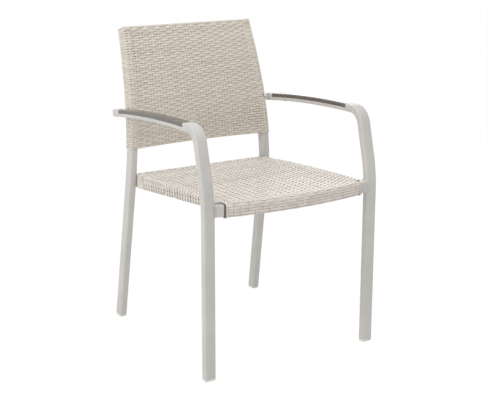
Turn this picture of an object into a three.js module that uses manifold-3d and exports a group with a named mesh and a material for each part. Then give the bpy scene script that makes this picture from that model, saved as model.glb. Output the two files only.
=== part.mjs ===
// Stacking armchair with a tubular aluminium frame and a woven seat and back.
// Millimetres, +Z up, the front of the chair faces -Y. Depths are first measured
// backwards from the front legs' centre line, and the whole chair is then centred
// on its bounding box, standing on Z = 0.
import * as THREE from "three";
import { mergeVertices } from "three/addons/utils/BufferGeometryUtils.js";
import Module from "manifold-3d";

const wasm = await Module();
wasm.setup();

// Tube stock, and the gap kept between neighbouring pieces
const tubeWide = 30;
const tubeThin = 20;
const tubeWall = 2;
const tubeCorner = 3.5;
const gap = 0.3;

// Seat surface, which sets the height of what is above and below it
const seatFrontHeight = 455;
const seatDrop = 20.5;
const seatCrown = 6;

// Front legs and arms
const armSpread = 248.4;
const legKneeRise = 15;
const legKneeShift = -1;
const legKneeRadius = 350;
const armRise = 162.5;
const armCornerDepth = 39.6;
const armCornerRadius = 44;
const armCrestRun = 50.2;
const armEndDrop = 25;
const armEndPast = 15.8;

// Rear legs and back posts
const rearDepth = 460;
const rearInset = 28.6;
const rearKneeRise = 2.5;
const rearKneeRadius = 300;
const rearFootFlare = 8.7;
const rearFootSplay = 72.8;
const backStartRise = 63;
const backPullLean = 4.3;
const backPullRise = 140;
const backTopLean = 75.5;
const backTopRise = 324.7;
const backTopTaper = 26.8;

// Rails inside the woven back
const backRailHeight = 20;
const backRailDepth = 26;
const backBottomRise = 7.3;
const backBottomArch = 4.5;

// Rails under the seat
const frontRailBow = 28;
const frontRailHeight = 30;
const sideRailWidth = 20;
const sideRailInset = 28.7;
const sideRailFrontHeight = 13;
const sideRailRearHeight = 35;
const sideRailTail = 10;
const sideRailPlay = 0.7;
const rearRailHeight = 22;
const braceHeight = 12;
const braceDepth = 20;
const braceShare = 0.5;

// Woven covers
const weaveThickness = 2;
const frontStub = 27.1;
const sideWeaveEnd = 5;
const weaveCornerGap = 1.5;

// Arm inlays and their screws
const inlayFrontInset = 3;
const inlayRearInset = 35;
const inlayThickness = 10;
const inlayEdge = 2;
const screwShankRadius = 2;
const screwHeadRadius = 4;
const screwHeadHeight = 2.2;
const screwBite = 6;
const screwEndInset = 45;

// Arm links, end caps and foot glides
const linkHeight = 10;
const linkLength = 15;
const capThickness = 2;
const capPlugLength = 10;
const postCapPlay = 1;
const glideHeight = 7;
const glidePlugLength = 18;
const overrun = 5;

// Facets of corners, bends, curved sheets and round parts
const cornerSteps = 1;
const kneeSteps = 3;
const arcSteps = 7;
const sheetSteps = 10;
const roundSteps = 16;

// Places that follow from the sizes above
const seatRearHeight = seatFrontHeight - seatDrop;
const legKneeHeight = seatFrontHeight + legKneeRise;
const armHeight = legKneeHeight + armRise;
const armCrestDepth = armCornerDepth + armCrestRun;
const armEndDepth = rearDepth + armEndPast;
const inlayFrontDepth = armCrestDepth + inlayFrontInset;
const inlayRearDepth = armEndDepth - inlayRearInset;
const rearKneeHeight = seatRearHeight + rearKneeRise;
const rearKneeSpread = armSpread - rearInset;
const backStartHeight = rearKneeHeight + backStartRise;
const backTopHeight = backStartHeight + backTopRise;
const backTopSpread = rearKneeSpread - backTopTaper;
const backBottomHeight = backStartHeight + backBottomRise;
const skin = gap + weaveThickness;
const screwTop = -tubeThin / 2 + tubeWall + gap + screwBite;
const seatFrontDepth = -frontRailBow - tubeThin / 2 - skin;
const seatRearDepth = rearDepth + skin;
const sideRailSpread = armSpread - sideRailInset;
const sideRailRearSpread = rearKneeSpread - tubeThin / 2 - sideRailPlay;
const sideRailEnd = rearDepth + sideRailTail;
const rearRailDepth = rearDepth - tubeThin / 2;
const frontRailHalf = armSpread - tubeWide / 2 - gap;
const frontRailMiddle = seatFrontHeight - skin - frontRailHeight / 2;
const frontWeaveSpread = frontRailHalf - frontStub;
const reach = 2 * backTopHeight;

function material(color, roughness, metalness) {
  return new THREE.MeshStandardMaterial({ color, roughness, metalness });
}

const paint = material(0xbfbcb7, 0.45, 0.2);
const wicker = material(0xd8d0c4, 0.6, 0);
const polymer = material(0x8c857c, 0.5, 0);
const nylon = material(0xd9d6cf, 0.5, 0);
const steel = material(0x9a9a98, 0.35, 0.9);

// Solids and meshes

function toSolid(geometry) {
  const bare = geometry.clone();
  bare.deleteAttribute("normal");
  bare.deleteAttribute("uv");
  const merged = mergeVertices(bare);
  const mesh = new wasm.Mesh({
    numProp: 3,
    vertProperties: new Float32Array(merged.attributes.position.array),
    triVerts: new Uint32Array(merged.index.array),
  });
  return new wasm.Manifold(mesh);
}

function toGeometry(solid) {
  const mesh = solid.getMesh();
  const geometry = new THREE.BufferGeometry();
  geometry.setAttribute("position", new THREE.BufferAttribute(mesh.vertProperties, mesh.numProp));
  geometry.setIndex(new THREE.BufferAttribute(mesh.triVerts, 1));
  geometry.computeVertexNormals();
  return geometry;
}

function addPiece(group, name, solid, finish) {
  const mesh = new THREE.Mesh(toGeometry(solid), finish);
  mesh.name = name;
  group.add(mesh);
}

function joined(solids) {
  return solids.reduce((sum, solid) => sum.add(solid));
}

function without(solid, cutters) {
  return cutters.reduce((rest, cutter) => rest.subtract(cutter), solid);
}

// Routes: each station has a point, the direction of travel there, and the
// direction and scale of a section's width

function station(point, direction, across) {
  const travel = direction.clone().normalize();
  const side = across.clone().addScaledVector(travel, -across.dot(travel));
  side.setLength(across.length());
  return { point: point.clone(), direction: travel, across: side };
}

class Route extends THREE.Curve {
  constructor(stations) {
    super();
    this.stations = stations;
  }

  getPointAt(share) {
    return this.stations[Math.round(share * (this.stations.length - 1))].point.clone();
  }

  computeFrenetFrames() {
    const tangents = this.stations.map((at) => at.direction.clone());
    const normals = this.stations.map((at) => at.across.clone());
    const binormals = this.stations.map((at) => at.direction.clone().cross(at.across).normalize());
    return { tangents, normals, binormals };
  }
}

const acrossX = new THREE.Vector3(1, 0, 0);
const acrossY = new THREE.Vector3(0, 1, 0);

function fillet(before, corner, after, radius, steps) {
  const inward = corner.clone().sub(before).normalize();
  const outward = after.clone().sub(corner).normalize();
  const turn = inward.angleTo(outward);
  const start = corner.clone().addScaledVector(inward, -radius * Math.tan(turn / 2));
  const side = outward.clone().addScaledVector(inward, -inward.dot(outward)).normalize();
  const stations = [];
  for (let step = 0; step <= steps; step += 1) {
    const angle = (turn * step) / steps;
    const point = start.clone().addScaledVector(inward, radius * Math.sin(angle));
    point.addScaledVector(side, radius * (1 - Math.cos(angle)));
    const direction = inward.clone().multiplyScalar(Math.cos(angle));
    stations.push(station(point, direction.addScaledVector(side, Math.sin(angle)), acrossX));
  }
  return stations;
}

function moved(at, distance) {
  const point = at.point.clone().addScaledVector(at.direction, distance);
  return station(point, at.direction, at.across);
}

function stretched(stations, length) {
  const last = stations.length - 1;
  return [moved(stations[0], -length), ...stations.slice(1, -1), moved(stations[last], length)];
}

function sweep(shape, stations) {
  const extrudePath = new Route(stations);
  const settings = { steps: stations.length - 1, extrudePath, curveSegments: cornerSteps };
  return toSolid(new THREE.ExtrudeGeometry(shape, settings));
}

// Sections: width first, then the thickness in the bending plane

function roundRect(width, thickness, radius) {
  const corner = Math.min(radius, width / 2, thickness / 2);
  const x = width / 2 - corner;
  const y = thickness / 2 - corner;
  const quarter = Math.PI / 2;
  const shape = new THREE.Shape();
  shape.absarc(x, y, corner, 0, quarter, false);
  shape.absarc(-x, y, corner, quarter, 2 * quarter, false);
  shape.absarc(-x, -y, corner, 2 * quarter, 3 * quarter, false);
  shape.absarc(x, -y, corner, 3 * quarter, 4 * quarter, false);
  shape.closePath();
  return shape;
}

function tubeSection(width, thickness, growth) {
  return roundRect(width + 2 * growth, thickness + 2 * growth, tubeCorner + growth);
}

function tube(width, thickness, stations) {
  const outer = sweep(tubeSection(width, thickness, 0), stations);
  const bore = sweep(tubeSection(width, thickness, -tubeWall), stretched(stations, overrun));
  return outer.subtract(bore);
}

// Flat outlines pushed through the chair: seen from above, from the side (depth
// and height) and from the front (across and height)

function push(shape, length, basis) {
  const settings = { depth: length, bevelEnabled: false, curveSegments: sheetSteps };
  const geometry = new THREE.ExtrudeGeometry(shape, settings);
  geometry.translate(0, 0, -length / 2);
  return toSolid(geometry.applyMatrix4(basis));
}

const up = new THREE.Vector3(0, 0, 1);
const planView = new THREE.Matrix4();
const sideView = new THREE.Matrix4().makeBasis(acrossY, up, acrossX);
const frontView = new THREE.Matrix4().makeBasis(acrossX, up, acrossY.clone().negate());

function outline(points) {
  return new THREE.Shape(points.map(([x, y]) => new THREE.Vector2(x, y)));
}

function box(lowest, highest) {
  const size = highest.clone().sub(lowest);
  const geometry = new THREE.BoxGeometry(size.x, size.y, size.z);
  const centre = lowest.clone().add(highest).divideScalar(2);
  return toSolid(geometry.translate(centre.x, centre.y, centre.z));
}

function layer(bottom, top) {
  const low = new THREE.Vector3(-reach, -reach, bottom);
  return box(low, new THREE.Vector3(reach, reach, top));
}

// Front leg and arm, one bent tube on each side

function armArc(x, fromDepth, toDepth) {
  const run = armEndDepth - armCrestDepth;
  const radius = (run * run + armEndDrop * armEndDrop) / (2 * armEndDrop);
  const first = Math.asin((fromDepth - armCrestDepth) / radius);
  const last = Math.asin((toDepth - armCrestDepth) / radius);
  const stations = [];
  for (let step = 0; step <= arcSteps; step += 1) {
    const angle = THREE.MathUtils.lerp(first, last, step / arcSteps);
    const depth = armCrestDepth + radius * Math.sin(angle);
    const height = armHeight - radius * (1 - Math.cos(angle));
    const direction = new THREE.Vector3(0, Math.cos(angle), -Math.sin(angle));
    stations.push(station(new THREE.Vector3(x, depth, height), direction, acrossX));
  }
  return stations;
}

function frontLegFoot(x) {
  const knee = new THREE.Vector3(x, legKneeShift, legKneeHeight);
  return station(new THREE.Vector3(x, 0, 0), knee.clone().setX(0), acrossX);
}

function legAndArmRoute(x) {
  const foot = new THREE.Vector3(x, 0, 0);
  const knee = new THREE.Vector3(x, legKneeShift, legKneeHeight);
  const corner = new THREE.Vector3(x, armCornerDepth, armHeight);
  const crest = new THREE.Vector3(x, armCrestDepth, armHeight);
  return [
    moved(frontLegFoot(x), -overrun),
    ...fillet(foot, knee, corner, legKneeRadius, kneeSteps),
    ...fillet(knee, corner, crest, armCornerRadius, arcSteps),
    ...armArc(x, armCrestDepth, armEndDepth - capThickness - gap),
  ];
}

function longer(route, length) {
  const last = route.length - 1;
  return [...route.slice(0, -1), moved(route[last], length)];
}

function filledLegAndArm(x, growth) {
  const route = longer(legAndArmRoute(x), capThickness + 2 * gap);
  return sweep(tubeSection(tubeWide, tubeThin, growth), route);
}

// On the arm a section's thickness runs downwards, so its top is negative

function inlaySlab(growth, rise, side) {
  const top = -tubeThin / 2 - rise;
  const seat = -tubeThin / 2 + inlayThickness + growth;
  const half = tubeWide / 2 + side;
  const edge = rise > 0 ? 0 : inlayEdge;
  return outline([
    [-half, seat],
    [-half, top + edge],
    [-half + edge, top],
    [half - edge, top],
    [half, top + edge],
    [half, seat],
  ]);
}

function inlayTongue(growth) {
  const half = tubeWide / 2 - tubeCorner;
  const low = tubeThin / 2 - tubeWall - gap;
  return outline([
    [-half, -tubeThin / 2 + inlayThickness - growth],
    [half, -tubeThin / 2 + inlayThickness - growth],
    [half, low],
    [-half, low],
  ]);
}

function inlayPocket(x) {
  const route = stretched(armArc(x, inlayFrontDepth, inlayRearDepth), gap);
  return sweep(inlaySlab(gap, overrun, overrun), route);
}

function screwStations(x) {
  const run = armArc(x, inlayFrontDepth + screwEndInset, inlayRearDepth - screwEndInset);
  return [run[0], run[run.length - 1]];
}

function turned(profile, at) {
  const geometry = new THREE.LatheGeometry(profile.map(([r, h]) => new THREE.Vector2(r, h)), roundSteps);
  const rise = at.across.clone().cross(at.direction);
  const basis = new THREE.Matrix4().makeBasis(at.across, rise, at.direction.clone().negate());
  return toSolid(geometry.applyMatrix4(basis.setPosition(at.point)));
}

function screwHole(at, top) {
  const radius = screwShankRadius + gap;
  const low = -tubeThin / 2 - overrun;
  return turned([[0, low], [radius, low], [radius, top], [0, top]], at);
}

function screw(at) {
  const seat = -tubeThin / 2 - gap;
  const head = seat - screwHeadHeight;
  const profile = [
    [0, head],
    [screwHeadRadius, head],
    [screwHeadRadius, seat],
    [screwShankRadius, seat],
    [screwShankRadius, screwTop],
    [0, screwTop],
  ];
  return turned(profile, at);
}

function legAndArm(x) {
  const holes = screwStations(x).map((at) => screwHole(at, screwTop));
  const bent = tube(tubeWide, tubeThin, legAndArmRoute(x));
  return without(bent, [layer(-reach, glideHeight), inlayPocket(x), ...holes]);
}

function armInlay(x) {
  const route = armArc(x, inlayFrontDepth, inlayRearDepth);
  const slab = sweep(inlaySlab(0, 0, 0), route);
  const tongue = sweep(inlayTongue(gap), route);
  return without(slab.add(tongue), screwStations(x).map((at) => screwHole(at, screwTop + gap)));
}

// Caps that close the open tube ends, each with a plug inside the tube

function endCap(width, thickness, tubeEnd) {
  const near = moved(tubeEnd, gap);
  const plate = sweep(tubeSection(width, thickness, 0), [near, moved(near, capThickness)]);
  const inner = tubeSection(width, thickness, -tubeWall - gap);
  return plate.add(sweep(inner, [moved(tubeEnd, -capPlugLength), moved(near, capThickness / 2)]));
}

function footGlide(width, thickness, foot) {
  const long = [moved(foot, -reach), moved(foot, reach)];
  const pad = sweep(tubeSection(width, thickness, 0), long);
  const plug = sweep(tubeSection(width, thickness, -tubeWall - gap), long);
  const low = pad.intersect(layer(0, glideHeight - gap));
  return low.add(plug.intersect(layer(glideHeight / 2, glideHeight + glidePlugLength)));
}

// Rear leg and back post, one bent tube on each side

function postSpread(height) {
  const share = (height - rearKneeHeight) / (backTopHeight - rearKneeHeight);
  return THREE.MathUtils.lerp(rearKneeSpread, backTopSpread, share);
}

const backLine = new THREE.QuadraticBezierCurve(
  new THREE.Vector2(rearDepth, backStartHeight),
  new THREE.Vector2(rearDepth + backPullLean, backStartHeight + backPullRise),
  new THREE.Vector2(rearDepth + backTopLean, backTopHeight),
);

function backShare(height) {
  const rise = 2 * backPullRise;
  const bend = backTopRise - rise;
  const climb = height - backStartHeight;
  return (2 * climb) / (rise + Math.sqrt(rise * rise + 4 * bend * climb));
}

function backStation(side, height, across = acrossX) {
  const share = backShare(height);
  const at = backLine.getPoint(share);
  const tangent = backLine.getTangent(Math.max(share, 0));
  const lean = (backTopSpread - rearKneeSpread) / (backTopHeight - rearKneeHeight);
  const direction = new THREE.Vector3(side * lean * tangent.y, tangent.x, tangent.y);
  return station(new THREE.Vector3(side * postSpread(height), at.x, at.y), direction, across);
}

function backStations(side, from, to, steps, widen = () => acrossX) {
  const stations = [];
  for (let step = 0; step <= steps; step += 1) {
    const height = THREE.MathUtils.lerp(from, to, step / steps);
    stations.push(backStation(side, height, widen(height)));
  }
  return stations;
}

function rearFoot(side) {
  const knee = new THREE.Vector3(side * rearKneeSpread, rearDepth, rearKneeHeight);
  const foot = knee.clone().add(new THREE.Vector3(side * rearFootFlare, rearFootSplay, 0)).setZ(0);
  return station(foot, knee.sub(foot), acrossX);
}

function postRoute(side) {
  const foot = rearFoot(side);
  const knee = new THREE.Vector3(side * rearKneeSpread, rearDepth, rearKneeHeight);
  const start = new THREE.Vector3(side * postSpread(backStartHeight), rearDepth, backStartHeight);
  const curved = backStations(side, backStartHeight, backTopHeight, sheetSteps);
  const top = moved(curved[sheetSteps], -capThickness - gap - postCapPlay);
  return [
    moved(foot, -overrun),
    ...fillet(foot.point, knee, start, rearKneeRadius, kneeSteps),
    ...curved.slice(0, -1),
    top,
  ];
}

function filledPost(side, growth) {
  const route = longer(postRoute(side), capThickness + 2 * gap);
  return sweep(tubeSection(tubeThin, tubeWide, growth), route);
}

function rearLegAndPost(side) {
  return tube(tubeThin, tubeWide, postRoute(side)).subtract(layer(-reach, glideHeight));
}

function postCap(side) {
  const route = postRoute(side);
  return endCap(tubeThin, tubeWide, route[route.length - 1]);
}

const sides = { right: -1, left: 1 };
const bothSides = Object.values(sides);

// Rails of the back frame, between the posts

function postCutters() {
  return bothSides.map((side) => filledPost(side, gap));
}

function backTopRail() {
  const end = moved(backStation(1, backTopHeight), -backRailHeight / 2);
  const depthways = new THREE.Vector3(0, end.direction.z, -end.direction.y).normalize();
  const centre = end.point.clone().setX(0);
  const ends = [-1, 1].map((side) => {
    const point = centre.clone().setX(side * end.point.x);
    return station(point, acrossX, depthways);
  });
  return without(tube(backRailDepth, backRailHeight, ends), postCutters());
}

function archBand(lift, height, past) {
  const half = postSpread(backBottomHeight);
  const low = backBottomHeight + lift;
  const crest = low + 2 * backBottomArch;
  const shape = new THREE.Shape();
  shape.moveTo(-half - past, low);
  shape.lineTo(-half, low);
  shape.quadraticCurveTo(0, crest, half, low);
  shape.lineTo(half + past, low);
  shape.lineTo(half + past, low + height);
  shape.lineTo(half, low + height);
  shape.quadraticCurveTo(0, crest + height, -half, low + height);
  shape.lineTo(-half - past, low + height);
  return shape;
}

function backBottomRail() {
  const at = backStation(1, backBottomHeight + backRailHeight / 2);
  const bar = push(archBand(0, backRailHeight, overrun), backRailDepth, frontView);
  const hollow = backRailHeight - 2 * tubeWall;
  const bore = push(archBand(tubeWall, hollow, 2 * overrun), backRailDepth - 2 * tubeWall, frontView);
  const low = new THREE.Vector3(-at.point.x, -reach, 0);
  const rail = bar.subtract(bore).intersect(box(low, new THREE.Vector3(at.point.x, reach, reach)));
  return without(rail.translate(0, at.point.y, 0), postCutters());
}

// Link that joins an arm's rear end to its post

function linkBlock(side, growth) {
  const depth = armEndDepth - capThickness - gap - linkLength / 2;
  const [at] = armArc(side * armSpread, depth, depth);
  const start = at.point.clone().setX(side * postSpread(at.point.z));
  const ends = [start, at.point].map((point) => station(point, acrossX, acrossY));
  const section = roundRect(linkLength + 2 * growth, linkHeight + 2 * growth, inlayEdge);
  return sweep(section, side > 0 ? ends : ends.reverse());
}

function armLink(side) {
  const cutters = [filledPost(side, gap), filledLegAndArm(side * armSpread, gap)];
  return without(linkBlock(side, -gap), cutters);
}

// Woven back: a closed case round the posts and rails, open where they leave it

function caseRoute(growth) {
  const lowest = backBottomHeight - skin - overrun;
  const full = postSpread(lowest) + tubeThin / 2 + growth;
  const widen = (height) => {
    const half = postSpread(height) + tubeThin / 2 + growth;
    return new THREE.Vector3(half / full, 0, 0);
  };
  const stations = backStations(0, lowest, backTopHeight, sheetSteps, widen);
  stations[sheetSteps] = moved(stations[sheetSteps], growth);
  return { stations, full };
}

function caseBody(growth) {
  const { stations, full } = caseRoute(growth);
  const section = roundRect(2 * full, tubeWide + 2 * growth, tubeCorner + growth);
  const below = push(archBand(-growth - reach, reach, reach), reach, frontView);
  return sweep(section, stations).subtract(below.translate(0, rearDepth, 0));
}

function backWeave() {
  const crest = backBottomHeight + backBottomArch;
  const passages = bothSides.map((side) => filledPost(side, 2 * gap).intersect(layer(0, crest)));
  const links = bothSides.map((side) => linkBlock(side, 0));
  return without(caseBody(skin), [caseBody(gap), ...passages, ...links]);
}

// Seat surface, seen from the side, and what lies below it

function seatHeightAt(depth) {
  const share = (depth - seatFrontDepth) / (seatRearDepth - seatFrontDepth);
  const straight = THREE.MathUtils.lerp(seatFrontHeight, seatRearHeight, share);
  return straight + 4 * seatCrown * share * (1 - share);
}

function seatLine(drop, from, to) {
  const points = [];
  for (let step = 0; step <= sheetSteps; step += 1) {
    const depth = THREE.MathUtils.lerp(from, to, step / sheetSteps);
    points.push([depth, seatHeightAt(depth) - drop]);
  }
  return points;
}

function seatBand(drop, thickness) {
  const from = seatFrontDepth - overrun;
  const to = sideRailEnd + overrun;
  const lower = seatLine(drop + thickness, from, to);
  return push(outline([...lower, ...seatLine(drop, from, to).reverse()]), reach, sideView);
}

// Front rail, bowed forward

function frontRailRoute(half) {
  const radius = (frontRailHalf ** 2 + frontRailBow ** 2) / (2 * frontRailBow);
  const sweepAngle = Math.asin(half / radius);
  const stations = [];
  for (let step = 0; step <= sheetSteps; step += 1) {
    const angle = THREE.MathUtils.lerp(-sweepAngle, sweepAngle, step / sheetSteps);
    const depth = radius - frontRailBow - radius * Math.cos(angle);
    const point = new THREE.Vector3(radius * Math.sin(angle), depth, frontRailMiddle);
    const direction = new THREE.Vector3(Math.cos(angle), Math.sin(angle), 0);
    stations.push(station(point, direction, acrossY));
  }
  return stations;
}

function filledFrontRail(growth, half) {
  return sweep(tubeSection(tubeThin, frontRailHeight, growth), frontRailRoute(half));
}

function frontRail() {
  const rail = tube(tubeThin, frontRailHeight, frontRailRoute(frontRailHalf + overrun));
  const low = new THREE.Vector3(-frontRailHalf, -reach, 0);
  return rail.intersect(box(low, new THREE.Vector3(frontRailHalf, reach, reach)));
}

// Side rails: straight in plan and splayed, deeper towards the rear legs

function sideRailOuter(depth) {
  return THREE.MathUtils.lerp(sideRailSpread, sideRailRearSpread, depth / rearDepth);
}

function sideRailPlan(side, growth, from, to) {
  const corners = [from, to].map((depth) => [side * (sideRailOuter(depth) + growth), depth]);
  const inner = [to, from].map((depth) => {
    return [side * (sideRailOuter(depth) - sideRailWidth - growth), depth];
  });
  return push(outline([...corners, ...inner]), 2 * reach, planView);
}

function sideRailWedge(growth, from, to) {
  const railHeight = (depth) => {
    return THREE.MathUtils.lerp(sideRailFrontHeight, sideRailRearHeight, depth / sideRailEnd);
  };
  const top = seatLine(skin - growth, from, to);
  const bottom = [from, to].map((depth) => {
    return [depth, seatHeightAt(depth) - skin - railHeight(depth) - growth];
  });
  return push(outline([...bottom, ...top.reverse()]), reach, sideView);
}

function filledSideRail(side, growth, from, to) {
  return sideRailPlan(side, growth, from, to).intersect(sideRailWedge(growth, from, to));
}

function sideRail(side) {
  const body = filledSideRail(side, 0, 0, sideRailEnd);
  const bore = filledSideRail(side, -tubeWall, -overrun, sideRailEnd + overrun);
  return without(body.subtract(bore), [filledFrontRail(gap, frontRailHalf)]);
}

// Rear rail and brace, straight across between the side rails

function crossBar(depthwise, height, top, depth, growth) {
  const ends = [-1, 1].map((side) => {
    const x = side * (sideRailOuter(depth) - sideRailWidth / 2);
    return station(new THREE.Vector3(x, depth, top - height / 2), acrossX, acrossY);
  });
  return { section: tubeSection(depthwise, height, growth), ends };
}

function rearRailBar(growth) {
  const top = seatHeightAt(rearDepth) - skin;
  return crossBar(tubeThin, rearRailHeight, top, rearRailDepth, growth);
}

function braceBar(growth) {
  const depth = braceShare * rearDepth;
  const lowest = Math.min(seatHeightAt(depth - braceDepth / 2), seatHeightAt(depth + braceDepth / 2));
  return crossBar(braceDepth, braceHeight, lowest - skin, depth, growth);
}

function hollowBar(bar, boreBar) {
  const rails = bothSides.map((side) => filledSideRail(side, gap, 0, sideRailEnd));
  const outer = sweep(bar.section, bar.ends);
  const bore = sweep(boreBar.section, stretched(boreBar.ends, overrun));
  return without(outer.subtract(bore), rails);
}

// Woven seat: one sheet over the frame, wrapped round the four rails

function seatPlan() {
  const half = frontWeaveSpread;
  const front = frontRailRoute(half).map(({ point, direction }) => {
    const out = new THREE.Vector3(direction.y, -direction.x, 0);
    const edge = point.clone().addScaledVector(out, tubeThin / 2 + skin);
    return [edge.x, edge.y];
  });
  const back = frontRailRoute(half)[0].point.y + tubeThin / 2 + skin + weaveCornerGap;
  const sideEnd = rearDepth - tubeWide / 2 - sideWeaveEnd;
  const wide = (depth) => sideRailOuter(depth) + skin;
  const corner = sideRailRearSpread - gap;
  const rightHalf = [
    [half, back],
    [wide(back), back],
    [wide(sideEnd), sideEnd],
    [corner, sideEnd],
    [corner, seatRearDepth],
  ];
  const leftHalf = rightHalf.map(([x, y]) => [-x, y]).reverse();
  return push(outline([...front, ...rightHalf, ...leftHalf]), 2 * reach, planView);
}

function seatSleeves() {
  const from = frontRailRoute(frontWeaveSpread)[0].point.y + tubeThin / 2 + skin + weaveCornerGap;
  const to = rearDepth - tubeWide / 2 - sideWeaveEnd;
  const sleeves = bothSides.map((side) => filledSideRail(side, skin, from, to));
  const rear = rearRailBar(skin);
  const half = sideRailOuter(rearRailDepth) - sideRailWidth - skin - weaveCornerGap;
  const rearEnds = rear.ends.map((at, index) => {
    return station(at.point.clone().setX((index === 0 ? -1 : 1) * half), acrossX, acrossY);
  });
  return [...sleeves, filledFrontRail(skin, frontWeaveSpread), sweep(rear.section, rearEnds)];
}

function seatWeave() {
  const brace = braceBar(gap);
  const rear = rearRailBar(gap);
  const cutters = [
    ...bothSides.map((side) => filledSideRail(side, gap, -overrun, sideRailEnd + overrun)),
    ...postCutters(),
    filledFrontRail(gap, frontRailHalf),
    sweep(rear.section, rear.ends),
    sweep(brace.section, brace.ends),
  ];
  const sheet = seatPlan().intersect(seatBand(0, weaveThickness));
  const whole = joined([sheet, ...seatSleeves()]).intersect(seatBand(0, reach));
  return without(whole, cutters);
}

// The whole chair

function addSide(group, name, side) {
  const x = side * armSpread;
  const legRoute = legAndArmRoute(x);
  const [frontScrew, rearScrew] = screwStations(x);
  addPiece(group, `${name}_front_leg_and_arm`, legAndArm(x), paint);
  addPiece(group, `${name}_rear_leg_and_post`, rearLegAndPost(side), paint);
  addPiece(group, `${name}_arm_link`, armLink(side), paint);
  addPiece(group, `${name}_arm_end_cap`, endCap(tubeWide, tubeThin, legRoute[legRoute.length - 1]), paint);
  addPiece(group, `${name}_post_cap`, postCap(side), paint);
  addPiece(group, `${name}_seat_side_rail`, sideRail(side), paint);
  addPiece(group, `${name}_arm_inlay`, armInlay(x), polymer);
  addPiece(group, `${name}_inlay_screw_front`, screw(frontScrew), steel);
  addPiece(group, `${name}_inlay_screw_rear`, screw(rearScrew), steel);
  addPiece(group, `${name}_front_glide`, footGlide(tubeWide, tubeThin, frontLegFoot(x)), nylon);
  addPiece(group, `${name}_rear_glide`, footGlide(tubeThin, tubeWide, rearFoot(side)), nylon);
}

function buildChair() {
  const chair = new THREE.Group();
  for (const [name, side] of Object.entries(sides)) {
    addSide(chair, name, side);
  }
  addPiece(chair, "front_seat_rail", frontRail(), paint);
  addPiece(chair, "rear_seat_rail", hollowBar(rearRailBar(0), rearRailBar(-tubeWall)), paint);
  addPiece(chair, "seat_cross_brace", hollowBar(braceBar(0), braceBar(-tubeWall)), paint);
  addPiece(chair, "back_top_rail", backTopRail(), paint);
  addPiece(chair, "back_bottom_rail", backBottomRail(), paint);
  addPiece(chair, "seat_weave", seatWeave(), wicker);
  addPiece(chair, "back_weave", backWeave(), wicker);
  const middle = new THREE.Box3().setFromObject(chair).getCenter(new THREE.Vector3());
  chair.position.y = -middle.y;
  return chair;
}

export default buildChair();
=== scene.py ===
"""Dresses the stacking armchair: powder-coated tubes, woven strands, inlays, glides and the studio.

Everything is in metres in the row frame: +Z up, the chair's front faces -Y. Depths along the chair
are measured back from the front legs' centre line, `line` below, and heights from the floor."""

import math

import bpy
import numpy as np
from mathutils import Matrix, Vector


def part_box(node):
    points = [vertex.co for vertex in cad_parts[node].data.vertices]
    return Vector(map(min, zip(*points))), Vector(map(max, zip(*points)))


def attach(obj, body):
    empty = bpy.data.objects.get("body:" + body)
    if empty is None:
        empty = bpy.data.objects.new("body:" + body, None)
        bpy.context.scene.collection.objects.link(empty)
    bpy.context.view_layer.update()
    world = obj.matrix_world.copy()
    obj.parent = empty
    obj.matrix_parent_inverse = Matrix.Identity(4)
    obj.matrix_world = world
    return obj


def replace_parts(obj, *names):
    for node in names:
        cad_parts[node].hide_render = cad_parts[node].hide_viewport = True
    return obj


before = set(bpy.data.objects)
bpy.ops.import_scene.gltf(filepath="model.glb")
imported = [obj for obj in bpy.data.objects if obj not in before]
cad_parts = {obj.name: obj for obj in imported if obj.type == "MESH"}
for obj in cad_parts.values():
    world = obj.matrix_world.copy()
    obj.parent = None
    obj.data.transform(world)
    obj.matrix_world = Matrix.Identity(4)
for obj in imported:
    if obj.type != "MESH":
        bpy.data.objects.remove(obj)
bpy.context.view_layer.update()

MM = 0.001
rng = np.random.default_rng(7)
sides = ((1, "left"), (-1, "right"))

# What the frame gives: the front legs' line, the arms and the arms' links
glide_low, glide_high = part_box("left_front_glide")
arm_low, arm_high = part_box("left_front_leg_and_arm")
link_low, link_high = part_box("left_arm_link")
line = (glide_low[1] + glide_high[1]) / 2
arm_spread = (arm_low[0] + arm_high[0]) / 2
tube_wide = arm_high[0] - arm_low[0]
tube_thin = 20 * MM
tube_wall = 2 * MM
tube_corner = 3.5 * MM
gap = 0.3 * MM
overrun = 5 * MM

# Front legs and arms
arm_height = arm_high[2] - tube_thin / 2
knee_height = 470 * MM
knee_shift = -1 * MM
knee_radius = 350 * MM
knee_steps = 12
corner_depth = 39.6 * MM
corner_radius = 44 * MM
elbow_steps = 20
crest_depth = 89.8 * MM
arm_end_depth = 475.8 * MM
arm_end_drop = 25 * MM
arm_steps = 24
cap_thickness = 2 * MM
cap_bevel = 1 * MM

# The arms' inlays
inlay_front = crest_depth + 3 * MM
inlay_rear = arm_end_depth - 35 * MM
inlay_thickness = 10 * MM
inlay_corner = 5 * MM
inlay_lower_corner = 0.5 * MM
inlay_overhang = 0.1 * MM
inlay_proud = 0.2 * MM
inlay_end_inset = 0.8 * MM
inlay_end_bevel = 0.7 * MM
inlay_steps = 40
pocket_corner = 0.8 * MM

# Glides, with the heights of their profile and how far they draw in there
glide_height = 7 * MM
glide_profile = np.array([(0, 3.2), (0, 1.6), (1.2, 0.2), (5.6, -0.1), (6.7, 0.5)]) * MM

# Rear legs and back posts
rear_depth = 460 * MM
rear_spread = 219.8 * MM
rear_knee_height = 437 * MM
rear_knee_radius = 300 * MM
foot_flare = 8.7 * MM
foot_splay = 72.8 * MM
back_start = 500 * MM
back_pull = (4.3 * MM, 140 * MM)
back_top = (75.5 * MM, 324.7 * MM)
back_taper = 26.8 * MM
back_bottom = 507.3 * MM
back_arch = 4.5 * MM
arch_fade = 1 / 3
top_edge = back_start + back_top[1]
post_trim = 4 * MM
post_steps = 24

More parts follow.
